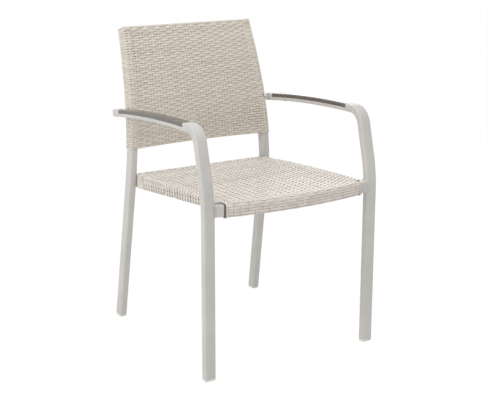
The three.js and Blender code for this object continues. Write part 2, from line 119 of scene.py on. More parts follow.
# Seat and its rails
skin = 2.3 * MM
seat_front_height = 455 * MM
seat_drop = 20.5 * MM
seat_crown = 6 * MM
rail_bow = 28 * MM
rail_height = 30 * MM
rail_half = arm_spread - tube_wide / 2 - gap
rail_outline = (tube_thin, rail_height)
rail_steps = 40
bow_radius = (rail_half**2 + rail_bow**2) / (2 * rail_bow)
side_rail_width = 20 * MM
side_rail_front = 219.7 * MM
side_rail_rear = 209.1 * MM
side_rail_front_height = 13 * MM
side_rail_rear_height = 35 * MM
side_rail_end = rear_depth + 10 * MM
rear_rail_height = 22 * MM
plug_length = 4 * MM
plug_bevel = 0.6 * MM

# The front rail's grooves and their spacers, whose sections have an inset and sharper corners
groove_start = 203 * MM
groove_end = 209.2 * MM
groove_depth = 2 * MM
groove_sharper = 1 * MM
spacer_play = 0.2 * MM
spacer_bevel = 0.5 * MM
spacer_outer = (0.7 * MM, 0.6 * MM)
spacer_inner = (1.2 * MM, 1 * MM)

# Welds: how far they reach along the rail, and their profile in shares of that
weld_leg = 3 * MM
weld_profile = ((0, 1), (0.12, 0.55), (0.35, 0.22), (0.65, 0.06), (1, 0))

# Strands: a weft dives under a stake in steps from it, and floats one pitch away
back_weft_wide = 6.6 * MM
seat_weft_wide = 7.2 * MM
weft_thick = 1.3 * MM
stake_wide = 7.4 * MM
side_stake_wide = 7.5 * MM
stake_thick = 1.7 * MM
stake_pitch = 19.3 * MM
over_tube = 1.35 * MM
swing_on_tube = 0.6 * MM
back_swing = 1.2 * MM
seat_swing = 1.45 * MM
side_swing = 1.1 * MM
side_lean = 0.35
plain_rise = 0.5
fascia_calm = 0.55
dive_start = 3.2 * MM
dive_margin = 1 * MM
float_reach = 20 * MM
dive_places = np.array([0, 3.4, 4.6, 6.2, 8.6, 12, 16]) * MM
tone_drift = 0.17

# How much painted shade the strands' edges and the stakes get, where 0 is open
stake_shade = 0.4
side_stake_shade = 0.55
edge_shade = 0.35
seat_edge_shade = 0.45
rail_edge_shade = 1.4
side_edge_shade = 0.55
fascia_edge_shade = 0.5

# The back's weave
link_middle = (link_low[2] + link_high[2]) / 2
link_opening = (link_high[2] - link_low[2]) / 2 + 0.45 * back_weft_wide
link_reach = 40 * MM
link_fade = 22 * MM
back_stakes = 22
back_reach_low = 215.5 * MM
back_reach_high = 189.5 * MM
back_mid = 14.6 * MM
back_row_pitch = 6.45 * MM
row_margin = 0.3 * back_weft_wide
row_crowding = 0.04
row_climb = 5.5 * MM
climb_fade = 0.3
top_row_lift = 0.9 * MM
edge_row_lift = 0.2 * MM
edge_row_inset = 2 * MM
post_margin = 1 * MM
post_blend = 9 * MM
turn_rise_low = 4 * MM
turn_drop_high = 3 * MM
turn_flat = 2 * MM
side_stake_start = 1 * MM
side_stake_tuck = 2 * MM
lashing_pitch = 7 * MM
lashing_proud = 1.2 * MM
lashing_rise = 2.6 * MM
lashing_drops = np.array([10, 6, 2]) * MM

# The seat's weave
seat_stakes = 22
seat_reach_front = 204.2 * MM
seat_reach_rear = 193 * MM
seat_mid = 2 * MM
seat_row_pitch = 7.36 * MM
fascia_row_pitch = 7.5 * MM
seat_climb = 5 * MM
rail_blend = 8 * MM
rows_behind = 6
rows_in_front = 7
side_weave_start = 7 * MM
side_first_row = 8.3 * MM
side_weave_end = rear_depth - 20 * MM
side_plain_start = side_weave_end - 28 * MM
upper_stake_start = 280 * MM
upper_stake_drop = 4 * MM
lower_stake_rise = 9 * MM
tuck_reach = 9 * MM
tuck_steps = np.array([(0.8, -0.1), (1.5, -0.5), (1.9, -1.2)]) * MM
tuck_leans = np.array([0.0, 0.4, 1.5])
inner_face_stop = 6 * MM
brace_depth = rear_depth / 2
brace_clearance = 14 * MM
rear_clearance = 25 * MM
stake_step = 4 * MM
edge_stake_proud = 1 * MM
edge_stake_above = 20 * MM
edge_stake_below = 30 * MM
edge_stake_blend = 12 * MM
edge_dive = 0.35

# The studio: the camera, the light and the floor's size, greys and share of its own light
view_azimuth = -32.46
view_elevation = 14.92
view_distance = 3.0158
view_target = (0, line + 0.2268, 0.3815)
view_lens = 82.27
view_sensor = 36
world_light = 0.688
floor_half = 30
floor_grey = 0.86
floor_glow = 1.03
floor_seen = 0.92

# Lamps: name, place, target, size and power
lamps = (
    ("side", (-1.8, -0.4, 1.45), (0, 0, 0.4), (1.6, 1.6), 13.5),
    ("top", (0, 0, 3.4), (0, 0.01, 0.4), (3.0, 3.0), 37),
    ("rim", (1.5, 1.9, 1.22), (0.25, 0, 0.65), (1.3, 1.1), 7),
)


# Meshes


def new_piece(name, points, faces, finish, smooth_angle=None):
    """A mesh object on the root body, in the row frame."""
    mesh = bpy.data.meshes.new(name)
    mesh.from_pydata(np.asarray(points).tolist(), [], faces)
    mesh.update()
    piece = bpy.data.objects.new(name, mesh)
    bpy.context.scene.collection.objects.link(piece)
    mesh.polygons.foreach_set("use_smooth", np.ones(len(mesh.polygons), bool))
    if smooth_angle is not None:
        mesh.set_sharp_from_angle(angle=math.radians(smooth_angle))
    mesh.materials.append(finish)
    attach(piece, "root")
    return piece


def lofted(name, rings, finish, smooth_angle=35):
    rings = np.asarray(rings)
    return new_piece(name, rings.reshape(-1, 3), loft(rings), finish, smooth_angle)


def unit(vectors):
    vectors = np.asarray(vectors, float)
    return vectors / np.linalg.norm(vectors, axis=-1, keepdims=True)


def blend(first, second, share):
    return first + (second - first) * share


def smooth(share):
    share = np.clip(share, 0, 1)
    return share * share * (3 - 2 * share)


def loft(rings, closed=False, first_index=0):
    """Quads between rings of equally many points, with flat ends unless the loft closes on itself."""
    count, around, _ = rings.shape
    index = first_index + np.arange(count * around).reshape(count, around)
    after = np.roll(index, -1, axis=0) if closed else index[1:]
    before = index if closed else index[:-1]
    quads = np.stack([before, np.roll(before, -1, 1), np.roll(after, -1, 1), after], axis=-1)
    faces = quads.reshape(-1, 4).tolist()
    if not closed:
        faces += [index[0][::-1].tolist(), index[-1].tolist()]
    return faces


class Route:
    """Points, directions of travel and section axes: wide is across, thick is direction x across."""

    def __init__(self, points, directions, across=(1, 0, 0)):
        self.points = np.asarray(points, float)
        self.directions = unit(directions)
        across = np.broadcast_to(np.asarray(across, float), self.points.shape)
        along = (across * self.directions).sum(-1, keepdims=True) * self.directions
        self.wide = unit(across - along)
        self.thick = np.cross(self.directions, self.wide)

    def rings(self, sections):
        """One ring of points for each station, from outlines in (wide, thick)."""
        sections = np.broadcast_to(sections, (len(self.points),) + np.shape(sections)[-2:])
        wide = sections[..., 0:1] * self.wide[:, None, :]
        return self.points[:, None, :] + wide + sections[..., 1:2] * self.thick[:, None, :]


def joined(*routes):
    return Route(*(np.concatenate([getattr(route, part) for route in routes])
                   for part in ("points", "directions", "wide")))


def rounded(low, high, radii, steps=5):
    """A rectangle from low to high, with its corners' radii from the lower left, anticlockwise."""
    points = []
    corners = [(low[0], low[1], 180), (high[0], low[1], 270),
               (high[0], high[1], 0), (low[0], high[1], 90)]
    for (x, y, start), radius in zip(corners, radii):
        centre_x = x + radius if start in (180, 90) else x - radius
        centre_y = y + radius if start in (180, 270) else y - radius
        for step in range(steps + 1):
            angle = math.radians(start + 90 * step / steps)
            points.append((centre_x + radius * math.cos(angle), centre_y + radius * math.sin(angle)))
    return np.array(points)


def tube_section(wide, thick, inset=0, sharper=0):
    """A tube's outline, drawn in on every side, with its corners' radius smaller by sharper."""
    half = np.array([wide, thick]) / 2 - inset
    return rounded(-half, half, (tube_corner - sharper,) * 4)


def bend(before, corner, after, radius, steps):
    """An arc of that radius where the line from before turns at the corner towards after."""
    before, corner, after = (np.array(place, float) for place in (before, corner, after))
    inward, outward = unit(corner - before), unit(after - corner)
    turn = math.acos(float(np.clip(inward @ outward, -1, 1)))
    start = corner - inward * radius * math.tan(turn / 2)
    side = unit(outward - (inward @ outward) * inward)
    angles = np.linspace(0, turn, steps + 1)[:, None]
    points = start + inward * radius * np.sin(angles) + side * radius * (1 - np.cos(angles))
    return Route(points, inward * np.cos(angles) + side * np.sin(angles))


# Where the tubes run


def arm_run(x, from_depth, to_depth, steps):
    """The arm's long arc, which starts level at its crest and falls towards the back."""
    run = arm_end_depth - crest_depth
    radius = (run * run + arm_end_drop**2) / (2 * arm_end_drop)
    first, last = (math.asin((depth - crest_depth) / radius) for depth in (from_depth, to_depth))
    angles = np.linspace(first, last, steps + 1)
    depths = line + crest_depth + radius * np.sin(angles)
    heights = arm_height - radius * (1 - np.cos(angles))
    points = np.column_stack([np.full_like(angles, x), depths, heights])
    return Route(points, np.column_stack([np.zeros_like(angles), np.cos(angles), -np.sin(angles)]))


def leg_bends(x):
    places = ((0, 0), (knee_shift, knee_height), (corner_depth, arm_height), (crest_depth, arm_height))
    foot, knee, corner, crest = ((x, line + depth, height) for depth, height in places)
    lower = bend(foot, knee, corner, knee_radius, knee_steps)
    return lower, bend(knee, corner, crest, corner_radius, elbow_steps)


def post_spread(height):
    share = (height - rear_knee_height) / (top_edge - rear_knee_height)
    return rear_spread - back_taper * share


def back_place(height):
    """Depth and lean of the back's centre line at a height: a parabola that starts upright."""
    height = np.asarray(height, float)
    rise, bow = 2 * back_pull[1], back_top[1] - 2 * back_pull[1]
    climb = np.maximum(height - back_start, -overrun)
    share = 2 * climb / (rise + np.sqrt(rise * rise + 4 * bow * climb))
    depth = 2 * share * (1 - share) * back_pull[0] + share**2 * back_top[0]
    slope_y = 2 * (1 - 2 * share) * back_pull[0] + 2 * share * back_top[0]
    slope_z = rise + 2 * share * bow
    return line + rear_depth + depth, unit(np.stack([slope_y, slope_z], axis=-1))


def post_route(side):
    """The rear leg's foot, its bend at the knee, and the post."""
    knee = np.array([side * rear_spread, line + rear_depth, rear_knee_height])
    foot = knee + np.array([side * foot_flare, foot_splay, -rear_knee_height])
    start = (side * post_spread(back_start), line + rear_depth, back_start)
    lower = bend(foot, knee, start, rear_knee_radius, knee_steps)
    heights = np.linspace(back_start, top_edge - post_trim, post_steps + 1)
    depths, leans = back_place(heights)
    points = np.column_stack([side * post_spread(heights), depths, heights])
    lean_x = -side * back_taper / (top_edge - rear_knee_height)
    upper = Route(points, np.column_stack([lean_x * leans[:, 1], leans]))
    return Route([foot], [knee - foot]), lower, upper


# Materials


def feed(tree, target, inputs):
    """Sets a node's inputs, each to a value or by a link from a socket."""
    for name, value in inputs.items():
        if isinstance(value, bpy.types.NodeSocket):
            tree.links.new(value, target.inputs[name])
        else:
            target.inputs[name].default_value = value


def node(tree, kind, inputs=None, **settings):
    made = tree.nodes.new(kind)
    for name, value in settings.items():
        setattr(made, name, value)
    feed(tree, made, inputs or {})
    return made


def material(name, inputs):
    made = bpy.data.materials.new(name)
    made.use_nodes = True
    shader = made.node_tree.nodes["Principled BSDF"]
    feed(made.node_tree, shader, inputs)
    return made, made.node_tree, shader


def srgb(*levels):
    shares = np.array(levels) / 255
    linear = np.where(shares <= 0.04045, shares / 12.92, ((shares + 0.055) / 1.055) ** 2.4)
    return (*linear.tolist(), 1)


def mixed(tree, factor, first, second, low, high):
    """A colour between two, where factor runs from low to high."""
    spread = node(tree, "ShaderNodeMapRange", {"Value": factor, "From Min": low, "From Max": high})
    colours = {"Factor": spread.outputs["Result"], "A": first, "B": second}
    return node(tree, "ShaderNodeMix", colours, data_type="RGBA").outputs["Result"]


def noise(tree, scale, detail=2.0, where=None):
    where = where or node(tree, "ShaderNodeTexCoord").outputs["Object"]
    inputs = {"Scale": scale, "Detail": detail, "Vector": where}
    return node(tree, "ShaderNodeTexNoise", inputs).outputs["Fac"]


def bumped(tree, shader, height, strength, distance):
    inputs = {"Height": height, "Strength": strength, "Distance": distance}
    feed(tree, shader, {"Normal": node(tree, "ShaderNodeBump", inputs).outputs["Normal"]})


def mottled(name, dark, light, inputs, patches=40, grain=900, relief=(0.2, 0.00005), contrast=0.15):
    """A finish that drifts between two colours in patches, with a fine grain in relief."""
    made, tree, shader = material(name, inputs)
    tone = mixed(tree, noise(tree, patches, 3), dark, light, 0.5 - contrast, 0.5 + contrast)
    feed(tree, shader, {"Base Color": tone})
    bumped(tree, shader, noise(tree, grain), *relief)
    return made


def strand_plastic(name, dark, light, painted_shade_strength):
    """Extruded strand: each has its own tone and fine ridges, with painted shade where others cover it.
    """
    made, tree, shader = material(name, {"Roughness": 0.5, "Specular IOR Level": 0.4})
    tone, painted_shade = (node(tree, "ShaderNodeAttribute", attribute_name=layer).outputs["Fac"]
                  for layer in ("tone", "painted_shade"))
    along = node(tree, "ShaderNodeUVMap", uv_map="strand").outputs["UV"]
    stretch = node(tree, "ShaderNodeMapping", {"Vector": along, "Scale": (60, 2600, 1)})
    ridges = noise(tree, 1, where=stretch.outputs["Vector"])
    total = node(tree, "ShaderNodeMath", {0: tone, 1: noise(tree, 55)}, operation="ADD").outputs[0]
    more = node(tree, "ShaderNodeMath", {0: ridges, 1: 0.5, 2: total}, operation="MULTIPLY_ADD")
    open_colour = mixed(tree, more.outputs[0], dark, light, 0.45, 1.55)
    # Painted shade: the colour darkens towards a dark brown where the strand dives under others or lies
    # at their edges.
    reach = {"Value": painted_shade, "From Min": 0.3, "From Max": 0.95, "To Max": painted_shade_strength}
    depth = node(tree, "ShaderNodeMapRange", reach, interpolation_type="SMOOTHSTEP")
    colours = {"Factor": depth.outputs["Result"], "A": open_colour, "B": painted_shade_colour}
    mix = node(tree, "ShaderNodeMix", colours, data_type="RGBA")
    feed(tree, shader, {"Base Color": mix.outputs["Result"]})
    bumped(tree, shader, ridges, 0.35, 0.00012)
    return made


paint = mottled("powder_coat", srgb(195, 192, 187), srgb(203, 200, 195), {"Roughness": 0.45},
                patches=9, grain=1400, relief=(0.25, 0.00006))
inlay_finish = mottled("inlay_polymer", srgb(86, 80, 74), srgb(98, 92, 85),
                       {"Roughness": 0.16, "Specular IOR Level": 1.0})
glide_finish = mottled("glide_nylon", srgb(216, 213, 207), srgb(224, 221, 215), {"Roughness": 0.42})
# A guessed rubber spacer, dark so that it also paints the shadow in the rail's groove.
spacer_shadow_finish = mottled("spacer_rubber_and_shadow", srgb(118, 110, 99), srgb(128, 120, 109), {"Roughness": 0.6})
screw_finish = mottled("stainless_steel", srgb(150, 150, 148), srgb(176, 176, 174),
                       {"Roughness": 0.32, "Metallic": 1.0},
                       patches=300, grain=2500, relief=(0.15, 0.00003), contrast=0.2)
# The dark brown of the painted shade in the weave's hollows and between its strands.
painted_shade_colour = srgb(110, 100, 90)
# One wicker in two copies: the seat's has a wider spread of tones and about twice the painted shade of
# the back's, set for how each is lit.
back_wicker = strand_plastic("back_wicker", srgb(200, 191, 179), srgb(219, 211, 200), 0.45)
seat_wicker = strand_plastic("seat_wicker", srgb(196, 188, 178), srgb(232, 225, 216), 0.95)


def dress_cad(names, finish):
    for name in names:
        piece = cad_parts[name]
        piece.data.materials.clear()
        piece.data.materials.append(finish)


# Tubes


def leg_and_arm(side, name):
    """One bent tube from the foot to the arm's end, with the inlay's pocket cut into its top."""
    x = side * arm_spread
    lower, upper = leg_bends(x)
    whole = tube_section(tube_wide, tube_thin)
    half_wide, half_thin = tube_wide / 2, tube_thin / 2
    ledge = -half_thin + inlay_thickness + gap
    radii = (pocket_corner, pocket_corner, tube_corner, tube_corner)
    pocket = rounded((-half_wide, ledge), (half_wide, half_thin), radii)
    foot = Route([(x, line, glide_height)], [lower.directions[0]])
    front_arm = arm_run(x, crest_depth, inlay_front - gap, 2)
    middle = arm_run(x, inlay_front - gap, inlay_rear + gap, arm_steps)
    rear_arm = arm_run(x, inlay_rear + gap, arm_end_depth - cap_thickness - gap, 3)
    before = joined(foot, lower, upper, front_arm)
    rings = np.concatenate([before.rings(whole), middle.rings(pocket), rear_arm.rings(whole)])
    piece = lofted(f"{name}_leg_and_arm_tube", rings, paint)
    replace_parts(piece, f"{name}_front_leg_and_arm")


def arm_inlay(side, name):
    """A slim moulded strip that wraps over the arm, with softened edges and ends."""
    half = tube_wide / 2 + inlay_overhang
    top = -tube_thin / 2 - inlay_proud
    base = -tube_thin / 2 + inlay_thickness
    radii = (inlay_corner, inlay_corner, inlay_lower_corner, inlay_lower_corner)
    outline = rounded((-half, top), (half, base), radii)
    run = arm_run(side * arm_spread, inlay_front, inlay_rear, inlay_steps)
    rings = run.rings(outline)
    ends = run.rings(outline * (1 - inlay_end_inset / np.abs(outline).max(0)))
    first = rings[:1] + run.directions[0] * inlay_end_bevel
    last = rings[-1:] - run.directions[-1] * inlay_end_bevel
    rings = np.concatenate([ends[:1], first, rings[2:-2], last, ends[-1:]])
    piece = lofted(f"{name}_arm_inlay_strip", rings, inlay_finish, 40)
    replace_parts(piece, f"{name}_arm_inlay")


def arm_cap(side, name):
    end = arm_run(side * arm_spread, arm_end_depth - cap_thickness, arm_end_depth, 3)
    full = tube_section(tube_wide, tube_thin)
    inner = tube_section(tube_wide, tube_thin, cap_bevel, cap_bevel)
    piece = lofted(f"{name}_arm_end_plug", end.rings(np.stack([full, full, full, inner])), paint)
    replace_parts(piece, f"{name}_arm_end_cap")


def rear_tube(side, name):
    foot, lower, upper = post_route(side)
    reach = glide_height / lower.points[0][2]
    start = Route(foot.points + (lower.points[:1] - foot.points) * reach, foot.directions)
    rings = joined(start, lower, upper).rings(tube_section(tube_thin, tube_wide))
    flat = rings[0]
    flat += foot.directions[0] * ((glide_height - flat[:, 2:3]) / foot.directions[0][2])
    piece = lofted(f"{name}_leg_and_post_tube", rings, paint)
    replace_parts(piece, f"{name}_rear_leg_and_post")


def glide(name, centre, direction, wide, thick):
    """A moulded foot: a short flange under the tube that draws in where it meets the floor."""
    rings = []
    for height, inset in glide_profile:
        middle = np.asarray(centre) + np.asarray(direction) * height / direction[2]
        rings.append(np.insert(tube_section(wide, thick, inset) + middle[:2], 2, height, axis=1))
    piece = lofted(f"{name}_foot", rings, glide_finish, 40)
    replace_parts(piece, f"{name}_glide")


def rail_rings(stations):
    """Rings along the front rail's bow, from places across the chair and the sections there."""
    stations = sorted(stations, key=lambda station: station[0])
    angles = np.arcsin(np.array([x for x, _ in stations]) / bow_radius)
    depths = line + bow_radius - rail_bow - bow_radius * np.cos(angles)
    heights = np.full_like(angles, seat_front_height - skin - rail_height / 2)
    points = np.column_stack([bow_radius * np.sin(angles), depths, heights])
    directions = np.column_stack([np.cos(angles), np.sin(angles), np.zeros_like(angles)])
    return Route(points, directions, (0, 1, 0)).rings(np.stack([section for _, section in stations]))


def front_rail():
    """The bowed rail: its bare ends show beside the legs, cut off from the weave by a dark groove."""
    whole, neck = tube_section(*rail_outline), tube_section(*rail_outline, groove_depth, groove_sharper)
    end = [(-rail_half, whole), (-groove_end, whole), (-groove_end, neck), (-groove_start, neck),
           (-groove_start, whole)]
    middle = [(x, whole) for x in np.linspace(-groove_start, groove_start, rail_steps + 1)[1:-1]]
    rings = rail_rings(end + middle + [(-x, section) for x, section in end[::-1]])
    rings[0][:, 0], rings[-1][:, 0] = -rail_half, rail_half
    piece = lofted("front_rail_tube", rings, paint)
    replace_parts(piece, "front_seat_rail")
    for side, name in sides:
        rail_sleeve(side, name)
        rail_weld(side, name)


def rail_sleeve(side, name):
    """The dark spacer in the groove, a guessed part whose dark colour also paints the shadow there."""
    start, end = groove_start + spacer_play, groove_end - spacer_play
    outer, inner = (tube_section(*rail_outline, *shrink) for shrink in (spacer_outer, spacer_inner))
    stations = [(side * start, inner), (side * (start + spacer_bevel), outer),
                (side * (end - spacer_bevel), outer), (side * end, inner)]
    lofted(f"{name}_rail_spacer", rail_rings(stations), spacer_shadow_finish)


def rail_weld(side, name):
    """The weld bead where the rail meets the leg, ground to a small hollow fillet."""
    stations = [(side * (rail_half - share * weld_leg),
                 tube_section(*rail_outline, -grown * weld_leg, -grown * weld_leg))
                for share, grown in weld_profile]
    lofted(f"{name}_rail_weld", rail_rings(stations), paint, 60)


def rail_plug(side, name):
    """The flat plug in the open rear end of a side rail."""
    rings = []
    for before_end, inset in ((plug_length, 0), (plug_bevel, 0), (0, plug_bevel)):
        depth = side_rail_end - before_end
        wall = tube_wall + gap + inset
        outer = side_rail_outer(depth) - wall
        inner = side_rail_outer(depth) - side_rail_width + wall
        low = side_rail_bottom(depth) + wall
        high = seat_height(depth) - skin - wall
        corners = ((inner, low), (outer, low), (outer, high), (inner, high))
        rings.append([(side * x, line + depth, z) for x, z in corners])
    lofted(f"{name}_rail_plug", rings if side < 0 else rings[::-1], paint, 20)


# Strands


def strand_ring(wide, thick):
    """Eight points round a flat strand with a slight crown, from one edge over its underside."""
    shape = [(-1, 0), (-0.7, -0.9), (0, -1), (0.7, -0.9), (1, 0), (0.7, 0.9), (0, 1), (-0.7, 0.9)]
    return np.array(shape) * (wide / 2, thick / 2)


class Strands:
    """Collects strands as one mesh, with their tones, lengthwise coordinates and painted shade."""

    def __init__(self, wide, thick, shade=stake_shade):
        self.section = strand_ring(wide, thick)
        self.shade = shade
        self.outward = self.section[:, 1] / (thick / 2)
        self.points, self.faces, self.tones, self.lengths, self.painted_shade = [], [], [], [], []
        self.count = 0

    def add(self, points, normals, rises=None, edges=edge_shade, closed=False):
        """A strand along points; rises is +1 where it lies over a stake and -1 where it is under one."""
        points, normals = np.asarray(points, float), unit(normals)
        if closed:
            directions = unit(np.roll(points, -1, 0) - np.roll(points, 1, 0))
        else:
            directions = unit(np.gradient(points, axis=0))
        normals = unit(normals - (normals * directions).sum(-1, keepdims=True) * directions)
        wide = np.cross(normals, directions)
        ring = self.section[None, :, 0:1] * wide[:, None] + self.section[None, :, 1:2] * normals[:, None]
        rings = points[:, None] + ring
        shape = rings.shape[:2]
        self.faces += loft(rings, closed, self.count)
        self.points.append(rings.reshape(-1, 3))
        self.count += shape[0] * shape[1]
        tone = float(np.clip(rng.normal(0.5, tone_drift), 0, 1))
        self.tones.append(np.full(shape[0] * shape[1], tone))
        steps = np.linalg.norm(np.diff(points, axis=0), axis=1)
        run = np.concatenate([[0], np.cumsum(steps)]) + rng.uniform(0, 1)
        across = np.broadcast_to(self.section[:, 0] + self.section[:, 1], shape)
        along = np.broadcast_to(run[:, None], shape)
        self.lengths.append(np.stack([along, across], axis=-1).reshape(-1, 2))
        self.painted_shade.append(self.shaded(len(points), rises, edges).ravel())

    def shaded(self, count, rises, edges):
        """The painted shade: 0 where the strand lies open, 1 where others cover it; a stake is shaded
        along its edges.
        """
        flat = np.abs(self.outward)[None, :]
        if rises is None:
            return np.broadcast_to(blend(self.shade, 1, 1 - flat), (count, len(self.section)))
        under = np.clip(-np.asarray(rises)[:, None] * np.sign(self.outward)[None, :], 0, 1)
        return under * flat + np.broadcast_to(edges, count)[:, None] * (1 - flat)

    def piece(self, name, finish):
        made = new_piece(name, np.concatenate(self.points), self.faces, finish)
        for layer, values in (("tone", self.tones), ("painted_shade", self.painted_shade)):
            attribute = made.data.attributes.new(layer, "FLOAT", "POINT")
            attribute.data.foreach_set("value", np.concatenate(values).astype(np.float32))
        corners = np.empty(len(made.data.loops), np.int32)
        made.data.loops.foreach_get("vertex_index", corners)
        layer = made.data.uv_layers.new(name="strand")
        layer.data.foreach_set("uv", np.concatenate(self.lengths)[corners].astype(np.float32).ravel())
        return made


def rise(distance):
    """How far out a weft stands, from -1 under a stake to +1, by its distance from that stake."""
    share = np.clip((distance - dive_start) / (float_reach - dive_start), 0, 1)
    return 2 * np.sqrt(np.sin(math.pi / 2 * share)) - 1


def weft_stations(stakes, under_first):
    """Places along a weft from its first stake to its last, and how far out it stands at each."""
    places, rises = [], []
    under = under_first
    for start, end in zip(stakes[:-1], stakes[1:]):
        steps = dive_places[dive_places < end - start - dive_margin]
        if under:
            places.append(start + steps)
            rises.append(rise(steps))
        else:
            steps = steps[:0:-1]
            places.append(np.concatenate([[start], end - steps]))
            rises.append(rise(np.concatenate([[end - start], steps])))
        under = not under
    places.append([stakes[-1]])
    rises.append([-1.0 if under else float(rise(stakes[-1] - stakes[-2]))])
    return np.concatenate(places), np.concatenate(rises)


# The woven back


corner_steps = 6
corner_angles = np.radians(np.concatenate([np.linspace(start, start + 90, corner_steps + 1)
                                           for start in (180, 270, 360, 450)]))


def back_point(x, out, height):
    """A point of the back's case: x across, out of its middle plane towards the front."""
    depth, lean = back_place(height)
    forward = np.stack([np.zeros_like(depth), -lean[..., 1], lean[..., 0]], axis=-1)
    middle = np.stack([np.broadcast_to(x, np.shape(depth)), depth, height], axis=-1)
    return middle + np.asarray(out)[..., None] * forward, forward


def back_up(height):
    """The way up along the back at each height."""
    _, lean = back_place(height)
    return np.insert(lean, 0, 0, axis=1)


def stake_reach(height):
    """Distance from the middle to the outermost stake, which runs up the post."""
    return blend(back_reach_low, back_reach_high, (height - back_bottom) / (top_edge - back_bottom))


def case_level(x, height):
    """The strands' middle surface off the back's centre plane, and how far a weft swings about it."""
    inner = post_spread(height) - tube_thin / 2
    settle = smooth((inner + post_margin - np.abs(x)) / post_blend)
    return blend(tube_wide / 2 + over_tube, back_mid, settle), blend(swing_on_tube, back_swing, settle)


def back_rows():
    low = back_bottom + row_margin
    high = top_edge + top_row_lift - row_margin
    count = int(round((high - low) / back_row_pitch))
    share = np.linspace(0, 1, count + 1)
    return low + (high - low) * (share + row_crowding * share * (1 - share))


def row_level(base, x, out):
    """Height of a row's points: it slopes between the case's edges and parts round the arm's link."""
    span = (base - back_bottom) / (top_edge - back_bottom)
    half = post_spread(base) + tube_thin / 2
    arch = back_arch * (1 - (x / post_spread(back_bottom)) ** 2) * np.clip(1 - span / arch_fade, 0, 1)
    fade = smooth(min(span, 1 - span) / climb_fade)
    height = base + arch + row_climb * (x / half) * np.clip(out / (tube_wide / 2), -1, 1) * fade
    off = height - link_middle
    pushed = link_opening + (link_reach - link_opening) * np.abs(off) / link_reach
    near = smooth(1 - (half - np.abs(x)) / link_fade) * (np.abs(off) < link_reach)
    return height + near * (np.where(off < 0, -pushed, pushed) - off)


def back_weft_row(row, base, strands):
    """One closed turn round the case: over and under the stakes on all four of its faces."""
    half = np.array([post_spread(base) + tube_thin / 2, tube_wide / 2]) + over_tube
    outline = rounded(-half, half, (tube_corner + over_tube,) * 4, corner_steps)
    ring = np.concatenate([outline, outline[:1]])
    lengths = np.concatenate([[0], np.cumsum(np.linalg.norm(np.diff(ring, axis=0), axis=1))])
    total, size = lengths[-1], corner_steps + 1
    across = np.linspace(-1, 1, back_stakes) * stake_reach(base)
    stakes = np.concatenate([
        lengths[size - 1] + across - outline[size - 1, 0],
        [(lengths[2 * size - 1] + lengths[2 * size]) / 2],
        lengths[3 * size - 1] + outline[3 * size - 1, 0] + across,
        [(lengths[4 * size - 1] + total) / 2],
    ])
    stakes = np.append(stakes, stakes[0] + total)
    places, rises = weft_stations(stakes, row % 2 == 0)
    corners = lengths[:-1] + np.where(lengths[:-1] < stakes[0], total, 0)
    every = np.unique(np.concatenate([places[:-1], corners]))
    rises = np.interp(every, places, rises)
    angles = np.append(corner_angles, corner_angles[0] + 2 * math.pi)
    x, out, angle = (np.interp(every % total, lengths, values)
                     for values in (ring[:, 0], ring[:, 1], angles))
    level, swing = case_level(x, base)
    out = np.clip(out, -level, level)
    points, forward = back_point(x, out, row_level(base, x, out))
    normals = forward * np.sin(angle)[:, None]
    normals[:, 0] += np.cos(angle)
    strands.add(points + normals * (rises * swing)[:, None], normals, rises, closed=True)


def back_stake_loop(share, strands):
    """One stake: up the front, over the top rail, down behind and round the bottom rail."""
    heights = np.linspace(back_bottom + turn_rise_low, top_edge - turn_drop_high, 60)
    turn = np.radians(np.linspace(15, 165, 9))
    points, normals = [], []
    for face, edge in ((1, top_edge), (-1, back_bottom + back_arch * (1 - share**2))):
        level = heights[::face]
        x = share * stake_reach(level)
        out, _ = case_level(x, level)
        places, forward = back_point(x, face * out, level)
        points.append(places)
        normals.append(forward * face)
        out = face * ((out[-1] - turn_flat) * np.cos(turn) + turn_flat * np.sign(np.cos(turn)))
        level = edge + face * (stake_thick / 2 + gap) * np.sin(turn) ** 0.5
        places, forward = back_point(share * stake_reach(level), out, level)
        points.append(places)
        outward = forward * np.cos(turn)[:, None] + back_up(level) * np.sin(turn)[:, None]
        normals.append(outward * face)
    strands.add(np.concatenate(points), np.concatenate(normals), closed=True)


def side_stake(side, strands):
    """The stake in the middle of the case's side, with its ends tucked in."""
    heights = np.linspace(back_bottom + side_stake_start, top_edge - side_stake_tuck, 70)
    x = post_spread(heights) + tube_thin / 2 + over_tube
    x[[0, -1]] -= side_stake_tuck
    points, _ = back_point(side * x, 0, heights)
    strands.add(points, np.tile([side, 0.0, 0.0], (len(x), 1)))


def corner_lashing(side, strands):
    """Short turns over the top of a post that bind the rows' ends."""
    out = tube_wide / 2 + over_tube + lashing_proud
    turn = np.radians(np.linspace(0, 180, 13))
    tilt = np.concatenate([np.zeros(3), turn, np.full(3, math.pi)])
    lifts = [-lashing_drops, lashing_rise * np.sin(turn) ** 0.6, -lashing_drops[::-1]]
    level = top_edge + np.concatenate(lifts)
    for step in (-1, 0, 1):
        x = side * (post_spread(top_edge) + step * lashing_pitch)
        points, forward = back_point(x, out * np.cos(tilt), level)
        normals = forward * np.cos(tilt)[:, None] + back_up(level) * np.sin(tilt)[:, None]
        strands.add(points, normals, np.ones(len(tilt)))


def top_edge_row(out, strands):
    """A strand laid along the top edge, under the stakes' turns."""
    x = np.linspace(-1, 1, 30) * (post_spread(top_edge) + tube_thin / 2 - edge_row_inset)
    level = np.full(len(x), top_edge + edge_row_lift)
    points, _ = back_point(x, out, level)
    strands.add(points, back_up(level), edges=seat_edge_shade)


